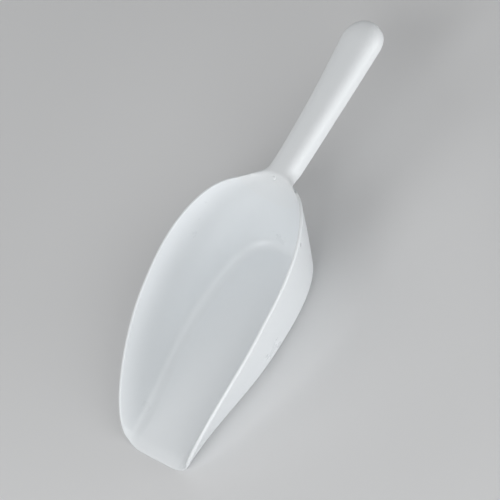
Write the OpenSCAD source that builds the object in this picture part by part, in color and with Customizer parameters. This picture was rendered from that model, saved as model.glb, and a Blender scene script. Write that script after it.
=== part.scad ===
// Ice scoop: one thin plastic moulding with a flat-bottomed bowl and a channel-section handle.
// The walls are one sheet of even thickness. Its upper face is a section that changes along the
// length: flat floor, rounded corner, leaning side. At the neck the sides turn from up to down,
// so that the bowl's rim runs on into the skirts of the handle. Each named part is one stretch
// of that sheet, and neighbours meet face to face.
// x runs from the lip (negative) to the handle (positive), and z = 0 is the flat underside.

/* [Overall] */
// Length from the lip to the end of the handle
total_l = 304; // [280:1:330]
// Wall thickness
wall = 2.2; // [1.6:0.1:3]

/* [Bowl] */
// Width of the front lip
lip_w = 47.6; // [40:0.2:60]
// Outward lean of the side walls at the middle, per mm of height
mid_lean = 0.275; // [0.1:0.005:0.4]
// Outward lean of the side walls at the lip, per mm of height
lip_lean = 0.56; // [0.3:0.01:0.7]
// Width of the floor between the sharp corners under the fillets
floor_w = 68.8; // [60:0.2:76]
// Height of the rim at the shoulders
rim_h = 59; // [50:1:66]
// Distance from the lip to the widest part of the floor
floor_mid = 93; // [80:1:105]
// Distance from the lip to the back of the flat floor
floor_back = 153; // [148:1:158]
// Width of the corner between floor and side
corner_w = 6.6; // [4:0.2:10]
// Slope of the back wall, from level
back_slope = 71; // [60:1:75]
// Thickness of the lip at its edge
lip_edge = 1.1; // [0.8:0.1:1.6]
// Length of the thinned strip behind the lip
lip_strip = 6; // [4:0.5:8]
// How far the straight of the lip stands out past its rounded corners
lip_bow = 3.2; // [0:0.2:4]

/* [Handle] */
// Distance from the lip to the narrow part of the neck
neck_at = 189; // [184:1:194]
// Width of the neck
neck_w = 21.6; // [17:0.2:26]
// Width of the handle near its end
grip_w = 30.2; // [22:0.2:34]
// Depth of the handle's skirts
skirt = 10; // [7:0.5:13]
// Height of the top of the neck
neck_h = 56.9; // [50:0.1:62]
// Rise of the handle from the neck to its end
grip_rise = 6.5; // [0:0.5:12]
// Length of the rounded end
end_l = 17; // [12:1:24]
// Thickness of the rib under the handle
rib_t = 1.8; // [1.2:0.1:2.5]

/* [Hidden] */
plastic = [0.93, 0.94, 0.94];
// Places where one part ends and the next starts, from the lip
side_end = 124;
back_end = 171;
neck_end = 200;
grip_end = total_l - end_l;
// Radius of the fillet between floor and walls
heel_r = 9;
// Reach of the smooth roll from back wall to handle top
roll = 16;
// Where the rim leaves the bowl's outline and starts to run into the neck
shoulder = 171;
// Power of the curved outline at the back, at the floor and at the rim
floor_n = 2.88;
rim_n = 2.25;
// Power with which the side walls' extra lean dies away from the lip
lean_n = 1.5;
// The rim climbs as if from just before the lip, to level off after this run; two powers shape it
rim_before = 0.5;
rim_run = 165;
rim_early = 1.55;
rim_late = 0.57;
// How the sides' height is spread over the steps from floor to rim: more steps near the floor
up_power = 2.3;
// Where the skirts start to drop from the rim, and the length in which they reach their depth
skirt_at = 172;
skirt_run = 18;
// Length in which the spread of the steps changes from the bowl's to the handle's, and its power
spread_run = 20;
spread_n = 0.8;
// Above the bowl the handle's line climbs out of the way, over a length that ends behind the shoulders
climb = 16;
climb_at = 151;
climb_run = 34;
// Powers of the handle's outline, of its rise, of its domed section and of its rounded end
widen_n = 1.6;
rise_n = 1.7;
dome_in = 4;
dome_out = 2.4;
end_n = 2.2;
// Drop of the handle's top at its very end
end_drop = 5;
// Power of the lip's rounded corners
lip_n = 6;
// The trimmed stub of the sprue, from the lip, and its height and radii
gate_at = 179.5;
gate_h = 0.5;
gate_r = 1.1;
gate_top_r = 0.7;
// How far the rib under the handle stays inside its ends, and above the foot of the skirts
rib_from = 1;
rib_short = 4;
rib_up = 1;
// Small steps in length, and between floor and rim, for the direction of the thickness
tiny = 0.05;
t_step = 0.01;
// Gap that keeps two parts from overlapping
clear = 0.03;
// A height well above the whole scoop
far_up = 200;
// Middle of the whole length, from the corners of the lip
mid_x = (total_l - lip_bow) / 2;
flat_mid = floor_w / 2 - corner_w;
heel_h = heel_r * (1 - cos(back_slope));

// Rises from 0 at u = 0, steeply at first, and levels off at u = 1
function rise(u, p, q) = u <= 0 ? 0 : u >= 1 ? 1 : pow(1 - pow(1 - u, p), q);
function ease(u) = u <= 0 ? 0 : u >= 1 ? 1 : (1 - cos(180 * u)) / 2;
function mix(a, b, u) = a + (b - a) * u;
// Smaller of two heights, rounded where they are nearer than k
function soft_min(a, b, k) = min(a, b) - pow(max(k - abs(a - b), 0), 2) / (4 * k);

// How far a wall stands out from the flat floor's edge at height h above it, for a lean per mm
function out_at(h, lean) =
    let (a = 90 - atan(lean), bend = heel_r * (1 - cos(a)))
    h <= 0 ? 0
    : h < bend ? sqrt(heel_r * heel_r - pow(heel_r - h, 2))
    : heel_r * sin(a) + (h - bend) * lean;
// Lean of the side walls, greatest at the lip
function side_lean(x) = mid_lean + (lip_lean - mid_lean) * pow(max(0, 1 - x / floor_mid), lean_n);
// Half width of the flat floor, 0 behind it
function flat_half(x) =
    x < floor_mid ? mix(lip_w / 2 - corner_w, flat_mid, ease(x / floor_mid))
    : x > floor_back ? 0
    : flat_mid * pow(1 - pow((x - floor_mid) / (floor_back - floor_mid), floor_n), 1 / floor_n);
// Half width of the bowl's inside at height h above the floor
function bowl_half(x, h) =
    x < floor_mid ? flat_half(x) + out_at(h, side_lean(x))
    : let (u = (x - floor_mid) / (floor_back - floor_mid + out_at(h, 1 / tan(back_slope))),
           n = mix(floor_n, rim_n, min(1, h / rim_h)))
      u >= 1 ? 0 : (flat_mid + out_at(h, mid_lean)) * pow(1 - pow(u, n), 1 / n);
// Height of the bowl's inside above the floor, on the centre line
function bowl_low(x) =
    let (d = x - floor_back)
    d <= 0 ? 0
    : d < heel_r * sin(back_slope) ? heel_r - sqrt(heel_r * heel_r - d * d)
    : heel_h + (d - heel_r * sin(back_slope)) * tan(back_slope);
// Height of the bowl's inside above the floor at half width y, found by halving the gap
function bowl_high(x, y, lo, hi, n = 22) =
    n == 0 ? (lo + hi) / 2
    : bowl_half(x, (lo + hi) / 2) < y ? bowl_high(x, y, (lo + hi) / 2, hi, n - 1)
    : bowl_high(x, y, lo, (lo + hi) / 2, n - 1);
// Height of the rim above the floor, as far as the shoulders
function rim_at(x) = (rim_h - wall) * rise((x + rim_before) / rim_run, rim_early, rim_late);

// How far along the handle, from 0 at the neck to 1 where the end starts
function along(x) = max(0, x - neck_at) / (grip_end - neck_at);
// How far into the rounded end, from 0 to 1
function into_end(x) = max(0, min(1, (x - grip_end) / end_l));
// Half width of the handle
function grip_half(x) =
    mix(neck_w, grip_w, pow(along(x), widen_n)) / 2 * pow(1 - pow(into_end(x), end_n), 1 / end_n);
// Half width at the sheet's edge behind the shoulders: a curve into the neck, then the handle
function edge_half(x) =
    let (w = neck_at - shoulder, u = (x - shoulder) / w, y0 = bowl_half(shoulder, rim_at(shoulder)),
         slope = (y0 - bowl_half(shoulder - 1, rim_at(shoulder - 1))))
    x >= neck_at ? grip_half(x)
    : mix(y0, neck_w / 2, u * u * (3 - 2 * u)) + w * slope * u * pow(1 - u, 2);
// The handle's line, seen from the side
function ridge(x) =
    neck_h + grip_rise * pow(along(x), rise_n) + climb * (1 - ease((x - climb_at) / climb_run));
// Height of the handle's top on the centre line
function top_line(x) = ridge(x) - end_drop * (1 - sqrt(1 - pow(into_end(x), 2)));
// Height of the foot of the skirts, level with the top until they start
function foot_line(x) = ridge(x) - skirt * ease((x - skirt_at) / skirt_run);
// Height of the handle's top, for a share of the half width: a dome that ends in the skirts
function handle_z(x, share) =
    mix(foot_line(x), top_line(x), pow(1 - pow(min(1, share), dome_in), 1 / dome_out));

// The sheet's upper face at full thickness: x along the length, t from 0 at the flat floor
// or the centre line to 1 at the edge
function sheet(x, t) = x < shoulder ? bowl_point(x, t) : neck_point(x, t);
function bowl_step(x, t) = mix(bowl_low(x), rim_at(x), pow(t, up_power));
function bowl_point(x, t) =
    let (h = bowl_step(x, t))
    bow([x, bowl_half(x, h), soft_min(h + wall, top_line(x), roll)]);
function neck_point(x, t) =
    let (spread = bowl_half(shoulder, bowl_step(shoulder, t)) / edge_half(shoulder),
         share = mix(spread, pow(sin(90 * t), spread_n), ease((x - shoulder) / spread_run)),
         y = edge_half(x) * share,
         h = x > neck_at ? far_up : bowl_high(x, y, bowl_low(x), far_up))
    [x, y, soft_min(h + wall, handle_z(x, share), roll)];
// Thickness of the sheet, which thins towards the lip
function thick(x) = x < lip_strip ? wall - (wall - lip_edge) * pow(1 - x / lip_strip, 2) : wall;
// The lip's edge stands out, straight in the middle and rounded at its corners
function bow_by(x, y) =
    lip_bow * max(0, 1 - pow(y * 2 / lip_w, lip_n)) * pow(max(0, 1 - x / lip_strip), 2);
function bow(p) = [p[0] - bow_by(p[0], abs(p[1])), p[1], p[2]];
function unit(v) = v / max(norm(v), 0.000001);
// Direction of the wall's thickness, out of the upper face
function across(x, t) =
    let (xe = min(x, total_l - tiny), x0 = max(0, xe - tiny),
         t0 = max(0, t - t_step), t1 = min(1, t + t_step))
    unit(cross(sheet(xe + tiny, t) - sheet(x0, t), sheet(xe, t1) - sheet(xe, t0)));
function upper(x, t) = sheet(x, t) - (wall - thick(x)) * across(x, t);
function lower(x, t) = sheet(x, t) - wall * across(x, t);

// Moves a point to the middle of the whole length; s = 1 on the left and -1 on the right
function shift(p, s) = [p[0] - mid_x, p[1] * s, p[2]];

// A solid from grids of points on the sheet's two faces, the cells [a, b, c, d] of four corners
// that it has, and the ring of points round its edge
module sheet_solid(top, bottom, cells, ring) {
    above = [for (r = top) each r];
    k = len(above);
    faces = concat(
        [for (c = cells) each [
            [c[0], c[1], c[2]], [c[0], c[2], c[3]],
            [k + c[0], k + c[2], k + c[1]], [k + c[0], k + c[3], k + c[2]]]],
        [for (i = [0 : len(ring) - 1]) let (p = ring[i], q = ring[(i + 1) % len(ring)]) each [
            [p, k + p, q], [q, k + p, k + q]]]);
    polyhedron(points = concat(above, [for (r = bottom) each r]), faces = faces, convexity = 6);
}
// A whole grid as one solid
module stretch(top, bottom) {
    n = len(top);
    m = len(top[0]);
    cells = [for (i = [0 : n - 2]) for (j = [0 : m - 2]) let (k = i * m + j) [k, k + 1, k + m + 1, k + m]];
    ring = concat([for (j = [0 : m - 1]) j], [for (i = [1 : n - 1]) i * m + m - 1],
                  [for (j = [m - 2 : -1 : 0]) (n - 1) * m + j], [for (i = [n - 2 : -1 : 1]) i * m]);
    sheet_solid(top, bottom, cells, ring);
}
// One half of the sheet, s = 1 on the left and -1 on the right
module half_sheet(xs, ts, s) {
    rows = s > 0 ? xs : [for (i = [len(xs) - 1 : -1 : 0]) xs[i]];
    stretch([for (x = rows) [for (t = ts) shift(upper(x, t), s)]],
            [for (x = rows) [for (t = ts) shift(lower(x, t), s)]]);
}
// Both halves of the sheet, joined on the centre line
module full_sheet(xs, ts) {
    both = concat([for (i = [len(ts) - 1 : -1 : 1]) [ts[i], -1]], [for (t = ts) [t, 1]]);
    stretch([for (x = xs) [for (b = both) shift(upper(x, b[0]), b[1])]],
            [for (x = xs) [for (b = both) shift(lower(x, b[0]), b[1])]]);
}
// Both halves of the handle's end, which share their last row
module closed_sheet(xs, ts) {
    n = len(xs);
    m = len(ts);
    w = 2 * m - 1;
    both = concat([for (i = [m - 1 : -1 : 1]) [ts[i], -1]], [for (t = ts) [t, 1]]);
    function at(i, j) = i * w + (i == n - 1 ? max(j, w - 1 - j) : j);
    cells = [for (i = [0 : n - 2]) for (j = [0 : w - 2])
             [at(i, j), at(i, j + 1), at(i + 1, j + 1), at(i + 1, j)]];
    ring = concat([for (j = [0 : w - 1]) at(0, j)], [for (i = [1 : n - 1]) at(i, w - 1)],
                  [for (i = [n - 2 : -1 : 1]) at(i, 0)]);
    sheet_solid([for (x = xs) [for (b = both) shift(upper(x, b[0]), b[1])]],
                [for (x = xs) [for (b = both) shift(lower(x, b[0]), b[1])]], cells, ring);
}
// Both halves of the sheet round the floor's back end; from row `meet` on they share the centre line
module forked_sheet(xs, ts, meet) {
    n = len(xs);
    m = len(ts);
    w = 2 * m;
    both = concat([for (i = [m - 1 : -1 : 0]) [ts[i], -1]], [for (t = ts) [t, 1]]);
    function at(i, j) = i * w + (j == m && i >= meet ? m - 1 : j);
    cells = [for (i = [0 : n - 2]) for (j = [0 : w - 2]) if (j != m - 1)
             [at(i, j), at(i, j + 1), at(i + 1, j + 1), at(i + 1, j)]];
    ring = concat([for (j = [0 : m - 1]) at(0, j)], [for (i = [1 : meet]) at(i, m - 1)],
                  [for (i = [meet - 1 : -1 : 0]) at(i, m)], [for (j = [m + 1 : w - 1]) at(0, j)],
                  [for (i = [1 : n - 1]) at(i, w - 1)],
                  [for (j = [w - 2 : -1 : 0]) if (j != m) at(n - 1, j)],
                  [for (i = [n - 2 : -1 : 1]) at(i, 0)]);
    sheet_solid([for (x = xs) [for (b = both) shift(upper(x, b[0]), b[1])]],
                [for (x = xs) [for (b = both) shift(lower(x, b[0]), b[1])]], cells, ring);
}

// Steps from 0 at the flat floor or the centre line to 1 at the edge
steps = [for (i = [0 : 14]) i / 14];
side_xs = [for (i = [0 : 36]) side_end * pow(i / 36, 1.5)];
corner_at = asin(pow((side_end - floor_mid) / (floor_back - floor_mid), floor_n / 2));
floor_xs = [for (i = [0 : 18]) floor_mid + (floor_back - floor_mid)
            * pow(sin(mix(corner_at, 90, i / 18)), 2 / floor_n)];
back_xs = concat(floor_xs, [for (i = [1 : 16]) mix(floor_back, back_end, i / 16)]);
neck_xs = [for (i = [0 : 22]) mix(back_end, neck_end, i / 22)];
grip_xs = [for (i = [0 : 18]) mix(neck_end, grip_end, i / 18)];
end_xs = [for (i = [0 : 12]) grip_end + end_l * sin(90 * i / 12)];

// The strip behind the lip has its own part, so the floor plate starts after it
plate_xs = concat([for (x = side_xs) if (x > lip_strip) x], [for (i = [1 : 18]) floor_xs[i]]);
lip_xs = [for (x = side_xs) if (x < plate_xs[0] + tiny) x];

// A point of the floor's face at height z, across it from -1 to 1
function floor_point(x, across_share, z) =
    let (p = bow([x, flat_half(x) * abs(across_share), z])) shift(p, sign(across_share));

module bowl_floor() {
    k = len(plate_xs);
    color(plastic) linear_extrude(wall)
        polygon(concat([for (x = plate_xs) [x - mid_x, -flat_half(x)]],
                       [for (i = [k - 2 : -1 : 0]) [plate_xs[i] - mid_x, flat_half(plate_xs[i])]]));
}
module front_lip() {
    shares = [for (s = [-6 : 6]) s / 6];
    color(plastic) stretch([for (x = lip_xs) [for (s = shares) floor_point(x, s, thick(x))]],
                           [for (x = lip_xs) [for (s = shares) floor_point(x, s, 0)]]);
}
module left_side_wall() {
    color(plastic) half_sheet(side_xs, steps, 1);
}
module right_side_wall() {
    color(plastic) half_sheet(side_xs, steps, -1);
}
module back_wall() {
    color(plastic) forked_sheet(back_xs, steps, len(floor_xs) - 1);
}
module neck() {
    color(plastic) full_sheet(neck_xs, steps);
}
module handle_grip() {
    color(plastic) full_sheet(grip_xs, steps);
}
module handle_end() {
    color(plastic) closed_sheet(end_xs, steps);
}
// A rib along the middle of the hollow under the handle, up to the shell
module handle_rib() {
    xs = [for (i = [0 : 20]) mix(neck_at + rib_from, grip_end - rib_short, i / 20)];
    color(plastic) translate([-mid_x, rib_t / 2, 0]) rotate([90, 0, 0]) linear_extrude(rib_t)
        polygon(concat([for (x = xs) [x, lower(x, 0)[2] - clear]],
                       [for (i = [len(xs) - 1 : -1 : 0]) [xs[i], foot_line(xs[i]) + rib_up]]));
}
// The trimmed stub of the sprue, a low button on the neck
module gate_mark() {
    n = across(gate_at, 0);
    color(plastic) translate(shift(upper(gate_at, 0), 1)) rotate([0, atan2(n[0], n[2]), 0])
        translate([0, 0, clear]) cylinder(h = gate_h, r1 = gate_r, r2 = gate_top_r, $fn = 32);
}

bowl_floor();
front_lip();
left_side_wall();
right_side_wall();
back_wall();
neck();
handle_grip();
handle_end();
handle_rib();
gate_mark();
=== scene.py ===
import math

import bpy
import numpy as np
from mathutils import Matrix, Vector


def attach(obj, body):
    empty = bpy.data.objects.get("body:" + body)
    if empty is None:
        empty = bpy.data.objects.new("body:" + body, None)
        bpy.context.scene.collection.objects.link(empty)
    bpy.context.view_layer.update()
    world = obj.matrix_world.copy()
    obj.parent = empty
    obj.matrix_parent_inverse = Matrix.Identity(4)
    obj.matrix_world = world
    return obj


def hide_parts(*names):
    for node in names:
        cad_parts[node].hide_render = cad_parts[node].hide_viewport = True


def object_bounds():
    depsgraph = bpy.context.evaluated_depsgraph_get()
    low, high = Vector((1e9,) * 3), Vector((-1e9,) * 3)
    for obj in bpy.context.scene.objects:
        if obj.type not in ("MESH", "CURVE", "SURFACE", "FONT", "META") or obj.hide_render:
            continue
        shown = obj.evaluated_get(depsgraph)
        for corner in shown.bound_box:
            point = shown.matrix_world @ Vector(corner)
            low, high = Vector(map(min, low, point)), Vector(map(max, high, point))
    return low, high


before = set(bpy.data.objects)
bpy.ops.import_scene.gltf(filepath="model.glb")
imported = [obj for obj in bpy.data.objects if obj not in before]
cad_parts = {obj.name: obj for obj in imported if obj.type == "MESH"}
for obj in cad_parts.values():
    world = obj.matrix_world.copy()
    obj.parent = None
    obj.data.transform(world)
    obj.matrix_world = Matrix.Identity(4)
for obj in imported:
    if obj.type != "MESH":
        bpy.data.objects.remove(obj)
cad_lo, cad_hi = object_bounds()

# ---------------------------------------------------------------- sizes, in mm, as the CAD has them,
# and the powers that shape its curves. MM turns them into metres.
TOTAL_L = 304.0
WALL = 2.2
LIP_W = 47.6
MID_LEAN = 0.275
LIP_LEAN = 0.56
FLOOR_W = 68.8
RIM_H = 59.0
FLOOR_MID = 93.0
FLOOR_BACK = 153.0
CORNER_W = 6.6
BACK_SLOPE = 71.0
LIP_EDGE = 1.1
LIP_STRIP = 6.0
LIP_BOW = 3.2
NECK_AT = 189.0
NECK_W = 21.6
GRIP_W = 30.2
SKIRT = 10.0
NECK_H = 56.9
GRIP_RISE = 6.5
END_L = 17.0
RIB_T = 1.8
SIDE_END = 124.0
BACK_END = 171.0
NECK_END = 200.0
GRIP_END = TOTAL_L - END_L
HEEL_R = 9.0
ROLL = 16.0
SHOULDER = 171.0
FLOOR_N = 2.88
RIM_N = 2.25
LEAN_N = 1.5
RIM_BEFORE = 0.5
RIM_RUN = 165.0
RIM_EARLY = 1.55
RIM_LATE = 0.57
UP_POWER = 2.3
SKIRT_AT = 172.0
SKIRT_RUN = 18.0
SPREAD_RUN = 20.0
SPREAD_N = 0.8
CLIMB = 16.0
CLIMB_AT = 151.0
CLIMB_RUN = 34.0
WIDEN_N = 1.6
RISE_N = 1.7
DOME_IN = 4
DOME_OUT = 2.4
END_N = 2.2
END_DROP = 5.0
LIP_N = 6
FAR_UP = 200.0
TINY = 0.05
T_STEP = 0.004
GATE_X = 179.5
MM = 0.001
MID_X = (TOTAL_L - LIP_BOW) / 2
FLAT_MID = FLOOR_W / 2 - CORNER_W
HEEL_H = HEEL_R * (1 - math.cos(math.radians(BACK_SLOPE)))
BACK_TAN = math.tan(math.radians(BACK_SLOPE))

# Rounding of the sheet's free edges: reach inwards from the rim and from the lip, and its power
RIM_R = 1.0
LIP_R = 0.45
ROUND_N = 2.3
HALVINGS = 30


# ---------------------------------------------------------------- the sheet's shape, as the CAD has it
def sin_deg(a):
    return np.sin(np.radians(a))


def rise(share, early, late):
    return (1 - (1 - np.clip(share, 0, 1)) ** early) ** late


def ease(share):
    return (1 - np.cos(np.pi * np.clip(share, 0, 1))) / 2


def mix(a, b, share):
    return a + (b - a) * share


def soft_min(a, b, blend):
    return np.minimum(a, b) - np.maximum(blend - np.abs(a - b), 0) ** 2 / (4 * blend)


def out_at(h, lean):
    """How far a wall stands out from the flat floor's edge at height h above it."""
    wall_angle = np.pi / 2 - np.arctan(lean)
    bend = HEEL_R * (1 - np.cos(wall_angle))
    arc = np.sqrt(np.maximum(HEEL_R**2 - (HEEL_R - np.clip(h, 0, bend)) ** 2, 0))
    return np.where(h < bend, arc, HEEL_R * np.sin(wall_angle) + (h - bend) * lean)


def side_lean(x):
    return MID_LEAN + (LIP_LEAN - MID_LEAN) * np.maximum(0, 1 - x / FLOOR_MID) ** LEAN_N


def flat_half(x):
    """Half width of the flat floor, 0 behind it."""
    front = mix(LIP_W / 2 - CORNER_W, FLAT_MID, ease(x / FLOOR_MID))
    share = np.clip((x - FLOOR_MID) / (FLOOR_BACK - FLOOR_MID), 0, 1)
    return np.where(x < FLOOR_MID, front, FLAT_MID * (1 - share**FLOOR_N) ** (1 / FLOOR_N))


def bowl_half(x, h):
    """Half width of the bowl's inside at height h above the floor."""
    front = flat_half(x) + out_at(h, side_lean(x))
    back_reach = FLOOR_BACK - FLOOR_MID + out_at(h, 1 / BACK_TAN)
    share = np.clip((x - FLOOR_MID) / back_reach, 0, 1)
    n = mix(FLOOR_N, RIM_N, np.clip(h / RIM_H, 0, 1))
    back = (FLAT_MID + out_at(h, MID_LEAN)) * (1 - share**n) ** (1 / n)
    return np.where(x < FLOOR_MID, front, back)


def bowl_low(x):
    """Height of the bowl's inside above the floor, on the centre line."""
    past = np.maximum(x - FLOOR_BACK, 0)
    bend = HEEL_R * sin_deg(BACK_SLOPE)
    arc = HEEL_R - np.sqrt(np.maximum(HEEL_R**2 - np.minimum(past, bend) ** 2, 0))
    return np.where(past < bend, arc, HEEL_H + (past - bend) * BACK_TAN)


def bowl_high(x, y):
    """Height of the bowl's inside above the floor at half width y, found by halving the gap."""
    lo, hi = bowl_low(x) + 0 * y, FAR_UP + 0 * (x + y)
    for _ in range(HALVINGS):
        half = (lo + hi) / 2
        inside = bowl_half(x, half) < y
        lo, hi = np.where(inside, half, lo), np.where(inside, hi, half)
    return (lo + hi) / 2


def rim_at(x):
    return (RIM_H - WALL) * rise((x + RIM_BEFORE) / RIM_RUN, RIM_EARLY, RIM_LATE)


def along_grip(x):
    return np.maximum(0, x - NECK_AT) / (GRIP_END - NECK_AT)


def into_end(x):
    """How far x is into the handle's rounded end, from 0 to 1."""
    return np.clip((x - GRIP_END) / END_L, 0, 1)


def edge_half(x):
    """Half width at the sheet's edge behind the shoulders."""
    share = (x - SHOULDER) / (NECK_AT - SHOULDER)
    shoulder_y = bowl_half(SHOULDER, rim_at(SHOULDER))
    slope = shoulder_y - bowl_half(SHOULDER - 1, rim_at(SHOULDER - 1))
    neck = mix(shoulder_y, NECK_W / 2, share * share * (3 - 2 * share))
    neck = neck + (NECK_AT - SHOULDER) * slope * share * (1 - share) ** 2
    grip = mix(NECK_W, GRIP_W, along_grip(x) ** WIDEN_N) / 2 * (1 - into_end(x) ** END_N) ** (1 / END_N)
    return np.where(x < NECK_AT, neck, grip)


def ridge(x):
    """Height of the handle's line, which climbs out of the way above the bowl."""
    return NECK_H + GRIP_RISE * along_grip(x) ** RISE_N + CLIMB * (1 - ease((x - CLIMB_AT) / CLIMB_RUN))


def top_line(x):
    return ridge(x) - END_DROP * (1 - np.sqrt(1 - into_end(x) ** 2))


def foot_line(x):
    return ridge(x) - SKIRT * ease((x - SKIRT_AT) / SKIRT_RUN)


def handle_z(x, share):
    """Height of the handle's domed top at a share of the way from the centre line to its foot."""
    return mix(foot_line(x), top_line(x), (1 - np.clip(share, 0, 1) ** DOME_IN) ** (1 / DOME_OUT))


def bowl_step(x, t):
    return mix(bowl_low(x), rim_at(x), np.clip(t, 0, 1) ** UP_POWER)


def bow_at(x, y):
    """How far the lip's edge stands out."""
    near = np.maximum(0, 1 - (np.abs(y) * 2 / LIP_W) ** LIP_N)
    return LIP_BOW * near * np.maximum(0, 1 - x / LIP_STRIP) ** 2


def sheet_at(x, t):
    """The sheet's upper face at full thickness, +Y half: x in mm from the lip, t from 0 at the
    flat floor or the centre line to 1 at the rim."""
    h = bowl_step(x, t)
    y_bowl = bowl_half(x, h)
    spread = bowl_half(SHOULDER, bowl_step(SHOULDER, t)) / edge_half(SHOULDER)
    share = mix(spread, sin_deg(90 * np.clip(t, 0, 1)) ** SPREAD_N, ease((x - SHOULDER) / SPREAD_RUN))
    y_neck = edge_half(np.maximum(x, SHOULDER)) * share
    h_neck = np.where(x > NECK_AT, FAR_UP, bowl_high(np.minimum(x, NECK_AT), y_neck))
    in_bowl = x < SHOULDER
    y = np.where(in_bowl, y_bowl, y_neck)
    z = np.where(in_bowl, soft_min(h + WALL, top_line(x), ROLL),
                 soft_min(h_neck + WALL, handle_z(x, share), ROLL))
    return np.stack([x - bow_at(x, y) + 0 * y, y, z], -1)


def across_at(x, t):
    """Direction of the sheet's thickness, out of its upper face."""
    x_in = np.minimum(x, TOTAL_L - TINY)
    along = sheet_at(x_in + TINY, t) - sheet_at(np.maximum(0, x_in - TINY), t)
    up = sheet_at(x_in, np.minimum(1, t + T_STEP)) - sheet_at(x_in, np.maximum(0, t - T_STEP))
    across = np.cross(along, up)
    return across / np.maximum(np.linalg.norm(across, axis=-1, keepdims=True), 1e-9)


def thick_at(x):
    return WALL - (WALL - LIP_EDGE) * np.maximum(0, 1 - x / LIP_STRIP) ** 2


# ---------------------------------------------------------------- camera
middle = (cad_lo + cad_hi) / 2
AIM_ALONG, AIM_ASIDE, AIM_HEIGHT = -0.0087, 0.0121, 0.020
AIM = Vector((middle.x + AIM_ALONG, middle.y + AIM_ASIDE, AIM_HEIGHT))
AZIMUTH, ELEVATION, ROLL_ANGLE = (math.radians(v) for v in (-25.02, 50, -37.54))
DISTANCE = 0.8967
back = Vector((math.sin(AZIMUTH) * math.cos(ELEVATION),
               -math.cos(AZIMUTH) * math.cos(ELEVATION), math.sin(ELEVATION)))
right = Vector((0, 0, 1)).cross(back).normalized()
above = back.cross(right)
cam_right = right * math.cos(ROLL_ANGLE) + above * math.sin(ROLL_ANGLE)
cam_up = above * math.cos(ROLL_ANGLE) - right * math.sin(ROLL_ANGLE)
camera = bpy.data.objects.new("camera", bpy.data.cameras.new("camera"))
bpy.context.scene.collection.objects.link(camera)
camera.data.lens = 100
camera.data.sensor_width = 36
camera.data.clip_start = 0.05
camera.data.clip_end = 30
turn = Matrix((cam_right, cam_up, back)).transposed().to_4x4()
camera.matrix_world = Matrix.Translation(AIM + back * DISTANCE) @ turn
bpy.context.scene.camera = camera


# ---------------------------------------------------------------- the sheet as one grid of points
def spaced(a, b, n, power=1.0):
    """n steps after a, up to b, closer together near a when power is over 1."""
    return a + (b - a) * (np.arange(1, n + 1) / n) ** power


# Rows from lip to handle end: round the lip's edge, lip strip, walls, round the floor's back, the back
# wall's foot, shoulders and neck, grip, and round the handle's end
CAP, LIP_ROWS, WALL_ROWS, ROUND_ROWS, FOOT_ROWS, NECK_ROWS, GRIP_ROWS, END_ROWS = 5, 9, 92, 30, 22, 56, 60, 30
quarter = np.linspace(0, np.pi / 2, CAP + 1)
cap_in = 1 - np.cos(quarter) ** (2 / ROUND_N)      # share of the reach, from the edge inwards
cap_full = np.sin(quarter) ** (2 / ROUND_N)        # share of the full thickness there

corner_at = math.asin(((SIDE_END - FLOOR_MID) / (FLOOR_BACK - FLOOR_MID)) ** (FLOOR_N / 2))
fork = spaced(corner_at, np.pi / 2, ROUND_ROWS)
rows_x = np.concatenate([
    LIP_R * cap_in,
    spaced(LIP_R, LIP_STRIP, LIP_ROWS),
    spaced(LIP_STRIP, SIDE_END, WALL_ROWS, 1.15),
    FLOOR_MID + (FLOOR_BACK - FLOOR_MID) * np.sin(fork) ** (2 / FLOOR_N),
    spaced(FLOOR_BACK, BACK_END, FOOT_ROWS),
    spaced(BACK_END, NECK_END, NECK_ROWS),
    spaced(NECK_END, GRIP_END, GRIP_ROWS),
    GRIP_END + END_L * np.sin(spaced(0, np.pi / 2, END_ROWS)),
])
row_full = np.ones(len(rows_x))
row_full[:CAP + 1] = cap_full
row = {x: int(np.argmin(np.abs(rows_x - x)))
       for x in (LIP_STRIP, SIDE_END, FLOOR_BACK, BACK_END, NECK_END, GRIP_END)}

# Steps up each wall, then round its rim, and steps across the flat floor
STEPS = 44
FLOOR_STEPS = 20
NEAR_RIM = 0.98
MOST_REACH = 0.3
at_rim = sheet_at(rows_x, np.ones_like(rows_x))
below_rim = sheet_at(rows_x, np.full_like(rows_x, NEAR_RIM))
edge_speed = np.linalg.norm(at_rim - below_rim, axis=-1) / (1 - NEAR_RIM)
reach = np.minimum(RIM_R / edge_speed, MOST_REACH)
inner = 1 - reach[:, None]
wall_t = np.concatenate([np.arange(STEPS)[None, :] / STEPS * inner,
                         1 - reach[:, None] * cap_in[::-1][None, :]], axis=1)
wall_full = np.concatenate([np.ones(STEPS), cap_full[::-1]])
grid_x = np.repeat(rows_x[:, None], wall_t.shape[1], axis=1)


SAUCER_DEEP, SAUCER_R = 0.16, 2.6
RING_DEEP, RING_R, RING_W = 0.05, 4.2, 0.5


def centre_line(x):
    """Point of the sheet's upper face on the centre line, and the thickness direction there."""
    at = np.array([x]), np.array([0.0])
    return sheet_at(*at)[0], across_at(*at)[0]


def gate_dent(place):
    """A shallow saucer and a fine ring round the gate mark, left by the mould's gate insert."""
    away = np.linalg.norm(place - centre_line(GATE_X)[0], axis=-1)
    saucer = SAUCER_DEEP * np.exp(-((away / SAUCER_R) ** 2))
    return saucer + RING_DEEP * np.exp(-(((away - RING_R) / RING_W) ** 2))


def faces_of_sheet(x, t, full):
    """Upper and lower face of the +Y half at each x and t, with the free edges rounded."""
    across = across_at(x, t)
    thick = thick_at(x)[..., None]
    core = sheet_at(x, t) - across * (WALL - thick / 2)
    half = across * thick / 2 * full[..., None]
    upper, lower = core + half, core - half
    upper = upper - across * (gate_dent(upper) * (full > 0.99))[..., None]
    return upper, lower


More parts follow.
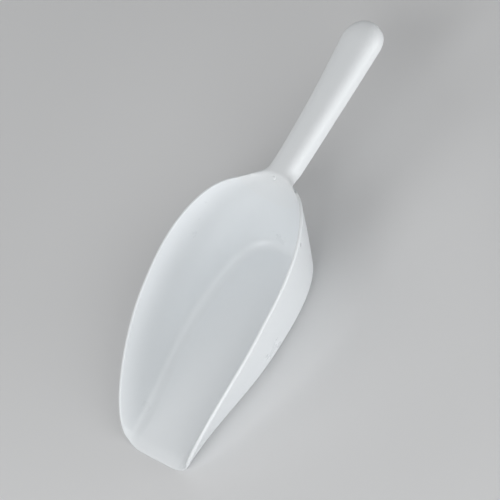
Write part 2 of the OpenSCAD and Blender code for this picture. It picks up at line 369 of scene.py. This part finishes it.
left_up, left_low = faces_of_sheet(grid_x, wall_t, row_full[:, None] * wall_full[None, :])
mirror = np.array([1.0, -1.0, 1.0])
floor_s = 1 - 2 * np.arange(1, FLOOR_STEPS) / FLOOR_STEPS
floor_y = flat_half(rows_x)[:, None] * floor_s[None, :]
floor_th = thick_at(rows_x)[:, None] * np.ones_like(floor_y)
floor_mid_z = floor_th / 2
floor_px = rows_x[:, None] - bow_at(rows_x[:, None], floor_y)
floor_half = floor_th / 2 * row_full[:, None]
floor_up = np.stack([floor_px, floor_y, floor_mid_z + floor_half], -1)
floor_low = np.stack([floor_px, floor_y, floor_mid_z - floor_half], -1)
upper = np.concatenate([left_up[:, ::-1], floor_up, left_up * mirror], axis=1)
lower = np.concatenate([left_low[:, ::-1], floor_low, left_low * mirror], axis=1)
ROWS, COLS = upper.shape[:2]
HALF = left_up.shape[1]
col_full = np.concatenate([wall_full[::-1], np.ones(FLOOR_STEPS - 1), wall_full])
edge_share = col_full[None, :] * row_full[:, None]

# Rows behind the flat floor have no width between the two walls, so they share their middle point.
# The last row has no width at all: its two halves share their points, and those less than TINY from
# the middle are one. At a free edge the upper and lower face share their points.
points = np.concatenate([upper.reshape(-1, 3), lower.reshape(-1, 3)])
points[:, 0] -= MID_X
up_id = np.arange(ROWS * COLS).reshape(ROWS, COLS)
low_id = up_id + ROWS * COLS
for i in range(row[FLOOR_BACK], ROWS):
    for ids in (up_id, low_id):
        ids[i, HALF - 1:COLS - HALF + 1] = ids[i, HALF - 1]
        points[ids[i, HALF - 1], 1] = 0.0
for ids in (up_id, low_id):
    ids[-1, COLS - HALF:] = ids[-1, :HALF][::-1]
    points[ids[-1], 1] = 0.0
    from_middle = np.linalg.norm(points[ids[-1]] - points[ids[-1, HALF - 1]], axis=1)
    ids[-1, from_middle < TINY] = ids[-1, HALF - 1]
low_id = np.where(edge_share < 1e-6, up_id, low_id)
points = points * MM
edge_near = np.tile((1 - edge_share).ravel(), 2)


def quads(ids):
    """The four corners of every face of the grid."""
    return np.stack([ids[:-1, :-1], ids[:-1, 1:], ids[1:, 1:], ids[1:, :-1]], -1)


up_quads = quads(up_id)
low_quads = quads(low_id)[..., ::-1]


def normals_of(all_quads):
    """Smooth normals over the whole sheet, so that no seam shows between its pieces."""
    corners = all_quads.T
    face_normals = np.cross(points[corners[2]] - points[corners[0]], points[corners[3]] - points[corners[1]])
    total = np.zeros_like(points)
    for corner in corners:
        np.add.at(total, corner, face_normals)
    return total / np.maximum(np.linalg.norm(total, axis=1, keepdims=True), 1e-20)


sheet_normals = normals_of(np.concatenate([up_quads.reshape(-1, 4), low_quads.reshape(-1, 4)]))


def corners_in_order(corners):
    """A face's corners with repeats left out, or None where fewer than three are left."""
    kept = [int(v) for i, v in enumerate(corners) if v != corners[i - 1]]
    return kept if len(set(kept)) == len(kept) >= 3 else None


def put_in_scene(name, mesh, nearness):
    """The mesh as a smooth object, with how near each of its points is to a free edge."""
    mesh.polygons.foreach_set("use_smooth", [True] * len(mesh.polygons))
    near = mesh.attributes.new("edge_near", "FLOAT", "POINT")
    near.data.foreach_set("value", np.asarray(nearness, np.float32))
    obj = bpy.data.objects.new(name, mesh)
    bpy.context.scene.collection.objects.link(obj)
    return obj


TWIN = dict(zip(up_id.ravel().tolist(), low_id.ravel().tolist()))


def seam_walls(faces):
    """Flat walls of the sheet's thickness, where the upper face ends and isn't a free edge."""
    edges = {(f[i - 1], v) for f in faces for i, v in enumerate(f)}
    walls = []
    for f in faces:
        for i, v in enumerate(f):
            u = f[i - 1]
            if (v, u) in edges or u not in TWIN or v not in TWIN:
                continue
            wall = corners_in_order([v, u, TWIN[u], TWIN[v]])
            if wall:
                walls.append(wall)
    return walls


def sheet_piece(name, rows, cols):
    """One closed piece of the sheet: its upper and lower faces between those rows and columns,
    and a flat wall wherever it meets its neighbour."""
    cells = [block[rows[0]:rows[1], a:b].reshape(-1, 4) for block in (up_quads, low_quads) for a, b in cols]
    faces = [f for f in map(corners_in_order, np.concatenate(cells)) if f]
    seams = seam_walls(faces)
    used = sorted({v for f in faces for v in f})
    index = {v: i for i, v in enumerate(used)}
    mesh = bpy.data.meshes.new(name)
    mesh.from_pydata([tuple(points[v]) for v in used], [],
                     [[index[v] for v in f] for f in faces + seams])
    obj = put_in_scene(name, mesh, edge_near[used])
    corner_normals = [tuple(sheet_normals[v]) for f in faces for v in f]
    for wall in seams:
        a, b, c = (Vector(points[v]) for v in wall[:3])
        corner_normals += [tuple((b - a).cross(c - b).normalized())] * len(wall)
    mesh.normals_split_custom_set(corner_normals)
    return obj


left_cols, floor_cols, right_cols = (0, HALF - 1), (HALF - 1, COLS - HALF), (COLS - HALF, COLS - 1)
all_cols = (0, COLS - 1)
sheet_pieces = {
    "bowl_floor": sheet_piece("floor_plate", (row[LIP_STRIP], row[FLOOR_BACK]), [floor_cols]),
    "front_lip": sheet_piece("lip_strip", (0, row[LIP_STRIP]), [floor_cols]),
    "left_side_wall": sheet_piece("left_wall", (0, row[SIDE_END]), [left_cols]),
    "right_side_wall": sheet_piece("right_wall", (0, row[SIDE_END]), [right_cols]),
    "back_wall": sheet_piece("rear_wall", (row[SIDE_END], row[BACK_END]), [left_cols, right_cols]),
    "neck": sheet_piece("neck_saddle", (row[BACK_END], row[NECK_END]), [all_cols]),
    "handle_grip": sheet_piece("grip_shell", (row[NECK_END], row[GRIP_END]), [all_cols]),
    "handle_end": sheet_piece("grip_tip", (row[GRIP_END], ROWS - 1), [all_cols]),
}


# ---------------------------------------------------------------- rib under the handle, and gate mark
RIB_FROM, RIB_TO = SHOULDER + 19, GRIP_END - 4
RIB_UP = 1.0
RIB_INTO = 0.3
RIB_ROUND = 0.8
RIB_DRAFT = 0.9
FLARE_W, FLARE_H = 1.3, 1.4


def loft_piece(name, rings):
    """A closed piece through rings of points, each ring in the same order."""
    count, size = len(rings), len(rings[0])
    mesh = bpy.data.meshes.new(name)
    faces = [[i * size + j, i * size + (j + 1) % size, (i + 1) * size + (j + 1) % size, (i + 1) * size + j]
             for i in range(count - 1) for j in range(size)]
    faces += [list(range(size))[::-1], [(count - 1) * size + j for j in range(size)]]
    mesh.from_pydata([tuple(p) for ring in rings for p in ring], [], faces)
    return put_in_scene(name, mesh, np.zeros(count * size))


def rib_ring(x, shrink):
    """The rib's section at x: a rounded lower edge, sides with draft, and a flare into the shell."""
    skin, across = centre_line(x)
    top = (skin - across * WALL)[2] + RIB_INTO
    foot = float(foot_line(x)) + RIB_UP
    half = RIB_T / 2
    side = []
    for angle in np.linspace(0, np.pi / 2, 7):
        side.append((half * RIB_DRAFT * math.sin(angle) ** 0.9, foot + RIB_ROUND * (1 - math.cos(angle))))
    for share in np.linspace(0.12, 1, 10):
        z = mix(foot + RIB_ROUND, top, share)
        flare = max(0.0, FLARE_H - (top - z)) / FLARE_H
        side.append((half * mix(RIB_DRAFT, 1.0, share) + FLARE_W * flare * flare, z))
    section = side + [(-y, z) for y, z in side[::-1] if abs(y) > 1e-9]
    mid_z = (top + foot) / 2
    return [((x - MID_X) * MM, y * shrink * MM, mix(mid_z, z, shrink) * MM) for y, z in section]


# Its two ends are rounded: distance in from the end, and the section's scale there
ends = [(0.0, 0.55), (0.15, 0.8), (0.45, 0.95), (1.0, 1.0)]
rib_rings = [rib_ring(RIB_FROM + inwards, scale) for inwards, scale in ends]
rib_rings += [rib_ring(x, 1.0) for x in np.linspace(RIB_FROM + 2, RIB_TO - 2, 60)]
rib_rings += [rib_ring(RIB_TO - inwards, scale) for inwards, scale in ends[::-1]]
under_rib = loft_piece("under_rib", rib_rings)


# Radius and height above its base of the stub's foot, shoulder, crown and sunken middle
GATE_PROFILE = [(1.55, 0.0), (1.5, 0.22), (1.28, 0.34), (1.16, 0.52), (1.1, 0.72), (1.0, 0.86),
                (0.8, 0.95), (0.58, 0.97), (0.45, 0.9), (0.34, 0.8), (0.2, 0.76), (0.06, 0.75)]
GATE_SIDES = 40
GATE_INTO = 0.35
TORN_DEEP, TORN_FROM = 0.04, 0.6


def gate_pip():
    """The stub of the sprue: a low button with a rounded shoulder and a torn middle."""
    skin, across = centre_line(GATE_X)
    base, across = Vector(skin - across * GATE_INTO), Vector(across)
    side = Vector((0, 1, 0))
    front = side.cross(across).normalized()
    rings = []
    for radius, height in GATE_PROFILE:
        ring = []
        for angle in 2 * math.pi * np.arange(GATE_SIDES) / GATE_SIDES:
            torn = TORN_DEEP * math.sin(3 * angle + 1) * max(0.0, height - TORN_FROM)
            outwards = side * math.cos(angle) + front * math.sin(angle)
            place = base + across * (height + torn) + outwards * radius
            ring.append(((place.x - MID_X) * MM, place.y * MM, place.z * MM))
        rings.append(ring[::-1])
    return loft_piece("gate_pip", rings)


gate = gate_pip()


# ---------------------------------------------------------------- moulded polypropylene
def polypropylene(name, tint, deep, rough, coat, grain, scuffs):
    """White moulded plastic: a faintly cloudy colour, orange peel, and light scuffs from use."""
    mat = bpy.data.materials.new(name)
    mat.use_nodes = True
    nodes, links = mat.node_tree.nodes, mat.node_tree.links
    nodes.clear()

    def add(kind, place, inputs, **settings):
        node = nodes.new(kind)
        node.location = place
        for key, value in settings.items():
            setattr(node, key, value)
        for key, value in inputs.items():
            node.inputs[key].default_value = value
        return node

    out = add("ShaderNodeOutputMaterial", (900, 0), {})
    shader = add("ShaderNodeBsdfPrincipled", (620, 0), {})
    shader.inputs["IOR"].default_value = 1.49
    shader.inputs["Specular IOR Level"].default_value = 0.45
    shader.inputs["Coat Weight"].default_value = coat
    shader.inputs["Coat Roughness"].default_value = 0.12
    links.new(shader.outputs["BSDF"], out.inputs["Surface"])
    place = add("ShaderNodeTexCoord", (-1400, 0), {})

    # Cloudiness of the natural resin: two sizes of soft noise between two close whites
    broad = add("ShaderNodeTexNoise", (-1100, 300), {"Scale": 22.0, "Detail": 3.0, "Roughness": 0.55})
    fine = add("ShaderNodeTexNoise", (-1100, 60), {"Scale": 140.0, "Detail": 4.0, "Roughness": 0.6})
    links.new(place.outputs["Object"], broad.inputs["Vector"])
    links.new(place.outputs["Object"], fine.inputs["Vector"])
    cloud = add("ShaderNodeMix", (-860, 220), {"Factor": 0.3}, data_type="FLOAT")
    links.new(broad.outputs["Fac"], cloud.inputs["A"])
    links.new(fine.outputs["Fac"], cloud.inputs["B"])
    spread = add("ShaderNodeMapRange", (-660, 220), {"From Min": 0.36, "From Max": 0.64})
    links.new(cloud.outputs["Result"], spread.inputs["Value"])
    whites = add("ShaderNodeMix", (-420, 220), {"A": (*deep, 1), "B": (*tint, 1)}, data_type="RGBA")
    links.new(spread.outputs["Result"], whites.inputs["Factor"])

    # Painted light: near the thin free edges the colour is painted lighter, standing in for light that glows
    # through them
    near = add("ShaderNodeAttribute", (-660, 480), {}, attribute_name="edge_near")
    edge = add("ShaderNodeMapRange", (-420, 480), {"From Min": 0.02, "From Max": 0.6, "To Max": 0.12})
    links.new(near.outputs["Fac"], edge.inputs["Value"])
    # the painted glow's colour, mixed in up to 0.12 near the free edges
    painted_glow = add("ShaderNodeMix", (-160, 260), {"B": (0.955, 0.965, 0.97, 1)}, data_type="RGBA")
    links.new(edge.outputs["Result"], painted_glow.inputs["Factor"])
    links.new(whites.outputs["Result"], painted_glow.inputs["A"])
    links.new(painted_glow.outputs["Result"], shader.inputs["Base Color"])

    # Orange peel of the mould, and fine scuffs that run along the scoop, in patches
    peel = add("ShaderNodeTexNoise", (-1100, -220), {"Scale": 900.0, "Detail": 2.0, "Roughness": 0.5})
    links.new(place.outputs["Object"], peel.inputs["Vector"])
    along = add("ShaderNodeMapping", (-1200, -480),
                {"Scale": (25.0, 900.0, 900.0), "Rotation": (0.0, 0.0, 0.06)})
    links.new(place.outputs["Object"], along.inputs["Vector"])
    lines = add("ShaderNodeTexNoise", (-960, -480), {"Scale": 1.0, "Detail": 2.0, "Roughness": 0.5})
    links.new(along.outputs["Vector"], lines.inputs["Vector"])
    scuff = add("ShaderNodeMapRange", (-740, -480), {"From Min": 0.55, "From Max": 0.85})
    links.new(lines.outputs["Fac"], scuff.inputs["Value"])
    patch = add("ShaderNodeTexNoise", (-960, -720), {"Scale": 38.0, "Detail": 2.0})
    links.new(place.outputs["Object"], patch.inputs["Vector"])
    where = add("ShaderNodeMapRange", (-740, -720), {"From Min": 0.3, "From Max": 0.8, "To Max": scuffs})
    links.new(patch.outputs["Fac"], where.inputs["Value"])
    worn = add("ShaderNodeMath", (-520, -560), {}, operation="MULTIPLY")
    links.new(scuff.outputs["Result"], worn.inputs[0])
    links.new(where.outputs["Result"], worn.inputs[1])

    # Roughness: broad patches, and the scuffs a little duller
    patchy = add("ShaderNodeMapRange", (-420, -60),
                 {"From Min": 0.3, "From Max": 0.7, "To Min": rough - 0.05, "To Max": rough + 0.06})
    links.new(cloud.outputs["Result"], patchy.inputs["Value"])
    dull = add("ShaderNodeMath", (-160, -120), {1: 0.12}, operation="MULTIPLY_ADD")
    links.new(worn.outputs["Value"], dull.inputs[0])
    links.new(patchy.outputs["Result"], dull.inputs[2])
    links.new(dull.outputs["Value"], shader.inputs["Roughness"])

    # Height: the orange peel, and the scuffs cut into it
    height = add("ShaderNodeMath", (-300, -360), {1: -0.15}, operation="MULTIPLY_ADD")
    links.new(worn.outputs["Value"], height.inputs[0])
    links.new(peel.outputs["Fac"], height.inputs[2])
    bump = add("ShaderNodeBump", (-60, -360), {"Strength": grain, "Distance": 0.00012})
    links.new(height.outputs["Value"], bump.inputs["Height"])
    links.new(bump.outputs["Normal"], shader.inputs["Normal"])
    return mat


bowl_plastic = polypropylene("bowl_polypropylene", (0.80, 0.83, 0.85), (0.788, 0.819, 0.84),
                             rough=0.30, coat=0.10, grain=0.07, scuffs=0.15)
handle_plastic = polypropylene("handle_polypropylene", (0.80, 0.825, 0.84), (0.785, 0.812, 0.828),
                               rough=0.44, coat=0.04, grain=0.11, scuffs=0.1)

BOWL_NODES = ("bowl_floor", "front_lip", "left_side_wall", "right_side_wall", "back_wall")
for node, piece in (sheet_pieces | {"handle_rib": under_rib, "gate_mark": gate}).items():
    piece.data.materials.append(bowl_plastic if node in BOWL_NODES else handle_plastic)
    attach(piece, "root")
    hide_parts(node)


# ---------------------------------------------------------------- floor and light
def floor_material():
    mat = bpy.data.materials.new("floor_paint")
    mat.use_nodes = True
    shader = mat.node_tree.nodes["Principled BSDF"]
    shader.inputs["Roughness"].default_value = 0.75
    shader.inputs["Base Color"].default_value = (0.68, 0.685, 0.69, 1)
    return mat


FLOOR_SIZE = 8.0
FLOOR_GAP = 0.0002
floor_mesh = bpy.data.meshes.new("studio_floor")
half = FLOOR_SIZE / 2
floor_corners = [(-half, -half, 0), (half, -half, 0), (half, half, 0), (-half, half, 0)]
floor_mesh.from_pydata(floor_corners, [], [[0, 1, 2, 3]])
floor = bpy.data.objects.new("studio_floor", floor_mesh)
floor.location = (middle.x, middle.y, cad_lo.z - FLOOR_GAP)
floor_mesh.materials.append(floor_material())
bpy.context.scene.collection.objects.link(floor)

world = bpy.data.worlds.new("studio")
world.use_nodes = True
world.node_tree.nodes["Background"].inputs["Color"].default_value = (0.98, 0.99, 1.0, 1)
world.node_tree.nodes["Background"].inputs["Strength"].default_value = 0.12
bpy.context.scene.world = world
bpy.context.scene.view_settings.view_transform = "Standard"


def soft_light(name, place, size, power):
    """A rectangle of light at a place counted from the middle of the scoop, which it faces."""
    data = bpy.data.lights.new(name, "AREA")
    data.shape = "RECTANGLE"
    data.size, data.size_y = size
    data.energy = power
    lamp = bpy.data.objects.new(name, data)
    lamp.location = middle + Vector(place)
    lamp.rotation_mode = "QUATERNION"
    lamp.rotation_quaternion = (-Vector(place)).to_track_quat("-Z", "Y")
    bpy.context.scene.collection.objects.link(lamp)


soft_light("front", (0.1, -1.2, 0.9), (1.2, 0.8), 5.6)
soft_light("front_low", (0.3, -1.3, 0.17), (1.6, 0.28), 8.0)
soft_light("mouth", (-1.1, -0.2, 1.0), (1.2, 0.8), 10.4)
soft_light("mouth_front", (-1.0, -1.0, 0.5), (1.2, 0.7), 1.8)
soft_light("rear", (-0.3, 0.9, 1.1), (1.2, 0.8), 3.6)
soft_light("rear_low", (0.3, 1.4, 0.35), (1.4, 0.6), 3.0)
